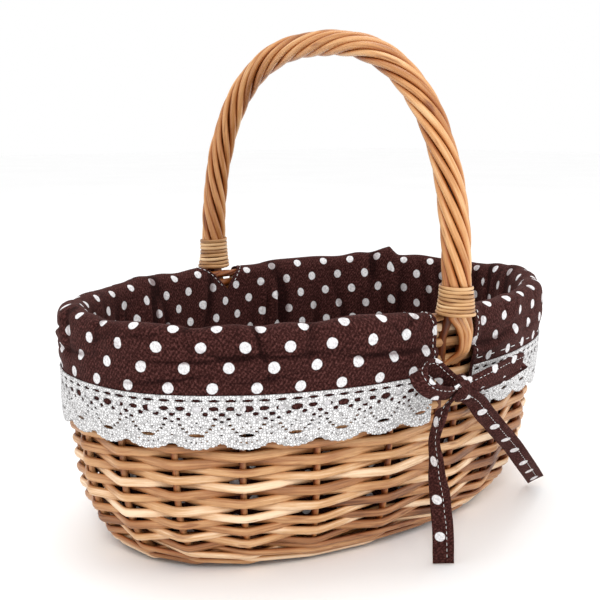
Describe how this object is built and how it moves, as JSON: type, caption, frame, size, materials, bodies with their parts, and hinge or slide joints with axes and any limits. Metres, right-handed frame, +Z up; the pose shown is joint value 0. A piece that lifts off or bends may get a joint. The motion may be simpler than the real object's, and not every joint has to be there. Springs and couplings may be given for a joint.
{
  "type": "flower girl basket",
  "caption": "Oval woven willow basket with a twisted arch handle and a lift-out polka-dot liner, folded over the rim, edged with lace and tied with bows at the handle feet.",
  "frame": {"origin": "centre of the flat underside of the base", "axes": "+X along the basket's long axis, +Y along its short axis in the plane of the handle, +Z up"},
  "size_m": [0.2952, 0.229, 0.2529],
  "materials": {
    "willow": "satin",
    "stake_willow": "satin",
    "handle_willow": "satin",
    "cane": "satin",
    "cotton": "matte",
    "lace": "matte"
  },
  "bodies": {
    "basket": {"stake_1": "stake_willow", "stake_2": "stake_willow", "stake_3": "stake_willow", "stake_4": "stake_willow", "stake_5": "stake_willow", "stake_6": "stake_willow", "stake_7": "stake_willow", "stake_8": "stake_willow", "stake_9": "stake_willow", "stake_10": "stake_willow", "stake_11": "stake_willow", "stake_12": "stake_willow", "stake_13": "stake_willow", "stake_14": "stake_willow", "stake_15": "stake_willow", "stake_16": "stake_willow", "stake_17": "stake_willow", "stake_18": "stake_willow", "stake_19": "stake_willow", "stake_20": "stake_willow", "stake_21": "stake_willow", "stake_22": "stake_willow", "weave_band_1": "willow", "weave_band_2": "willow", "rolled_border": "willow", "base_weave": "willow", "base_long_stick_1": "stake_willow", "base_long_stick_2": "stake_willow", "base_cross_stick_1": "stake_willow", "base_cross_stick_2": "stake_willow", "base_cross_stick_3": "stake_willow", "handle_core": "handle_willow", "handle_rod_1": "handle_willow", "handle_rod_2": "handle_willow", "handle_rod_3": "handle_willow", "handle_rod_4": "handle_willow", "handle_rod_5": "handle_willow", "handle_rod_6": "handle_willow", "handle_rod_7": "handle_willow", "handle_rod_8": "handle_willow", "front_binding": "cane", "back_binding": "cane"},
    "liner": {"liner_bag": "cotton", "cuff_left": "cotton", "cuff_right": "cotton", "lace_left": "lace", "lace_right": "lace", "front_knot": "cotton", "front_loop_left": "cotton", "front_loop_right": "cotton", "front_tail_left": "cotton", "front_tail_right": "cotton", "back_knot": "cotton", "back_loop_left": "cotton", "back_loop_right": "cotton", "back_tail_left": "cotton", "back_tail_right": "cotton"}
  },
  "joints": [
    {"name": "liner_lift", "type": "slide", "parent": "basket", "child": "liner", "axis": [0, 0, 1], "range_m": [0, 0.018]}
  ]
}
